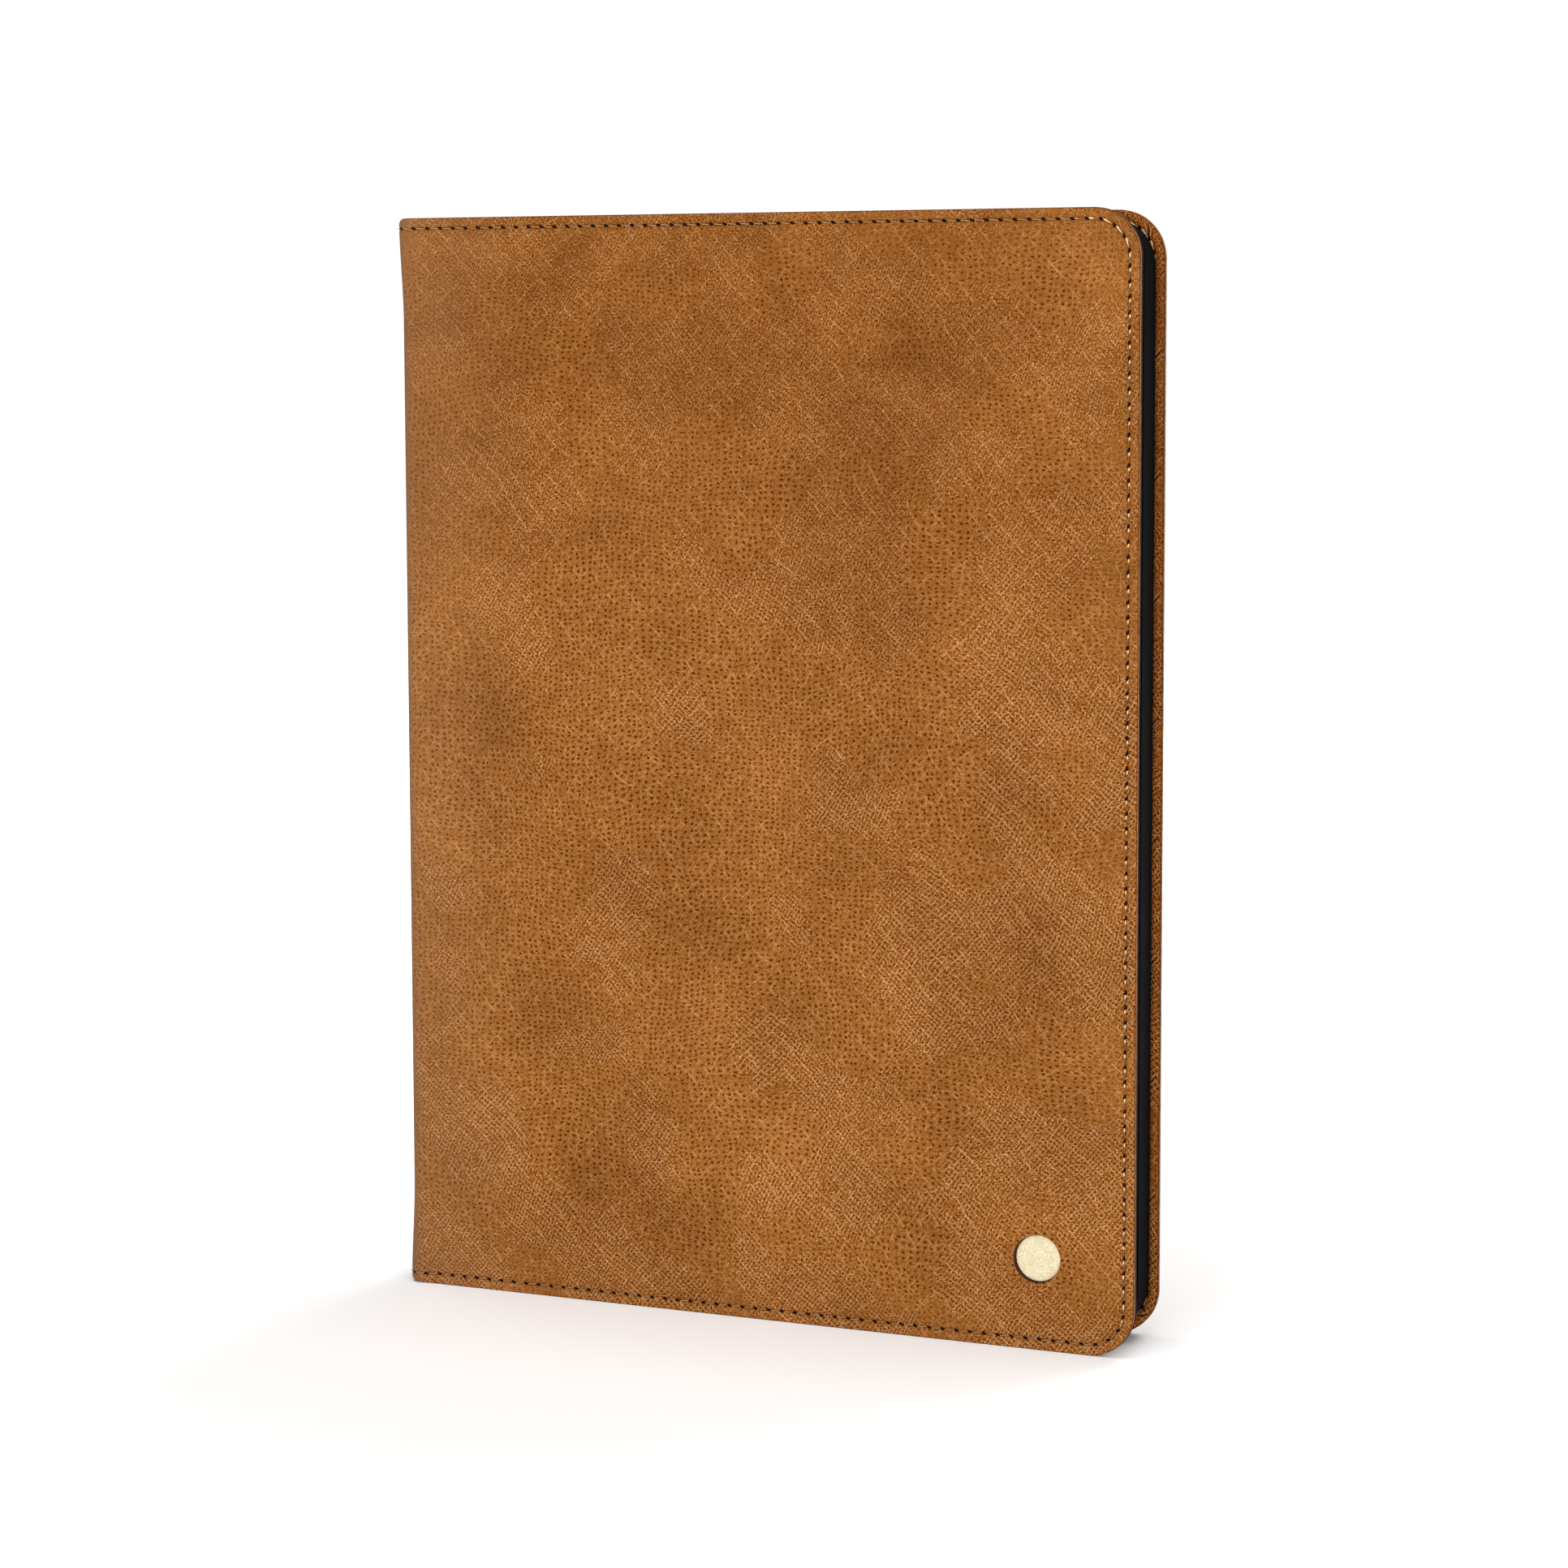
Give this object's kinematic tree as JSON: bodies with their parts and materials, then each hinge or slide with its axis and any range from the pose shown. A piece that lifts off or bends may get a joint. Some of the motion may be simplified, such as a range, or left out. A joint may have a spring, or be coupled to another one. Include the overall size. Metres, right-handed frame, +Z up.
{
  "type": "leather tablet folio cover",
  "caption": "Tan leather folio cover on two flexible spine folds, with a black moulded tray inside the rear cover that holds a tablet.",
  "frame": {"origin": "middle of the footprint, on the surface that the lower edges stand on", "axes": "+Z up along the spine, +X from the spine to the fore edge, +Y from the front cover to the rear cover"},
  "size_m": [0.1852, 0.0244, 0.258],
  "materials": {
    "cover_leather": "waxed full-grain, satin",
    "lining_leather": "dark red-brown grain, satin",
    "board": "pressed greyboard, matte",
    "thread": "waxed cream thread",
    "adhesive": "tacky adhesive sheet",
    "tray_polymer": "moulded satin black",
    "magnet": "plated",
    "inlay_leather": "cream suede, matte"
  },
  "bodies": {
    "rear_cover": {"rear_leather": "cover_leather", "rear_board": "board", "rear_lining": "lining_leather", "rear_stitching": "thread", "tray_bond": "adhesive", "tray_shell": "tray_polymer"},
    "spine": {"spine_leather": "cover_leather", "spine_board": "board", "spine_lining": "lining_leather", "spine_stitching": "thread"},
    "front_cover": {"front_leather": "cover_leather", "front_board": "board", "front_lining": "lining_leather", "front_stitching": "thread", "front_magnets": "magnet", "emblem_inlay": "inlay_leather"}
  },
  "joints": [
    {"name": "spine_fold", "type": "hinge", "parent": "rear_cover", "child": "spine", "pos_m": [-0.09094, 0.01046, 0.129], "axis": [0, 0, -1], "range_deg": [0, 178]},
    {"name": "cover_fold", "type": "hinge", "parent": "spine", "child": "front_cover", "pos_m": [-0.09094, -0.00294, 0.129], "axis": [0, 0, -1], "range_deg": [-2.4, 177.6]}
  ]
}
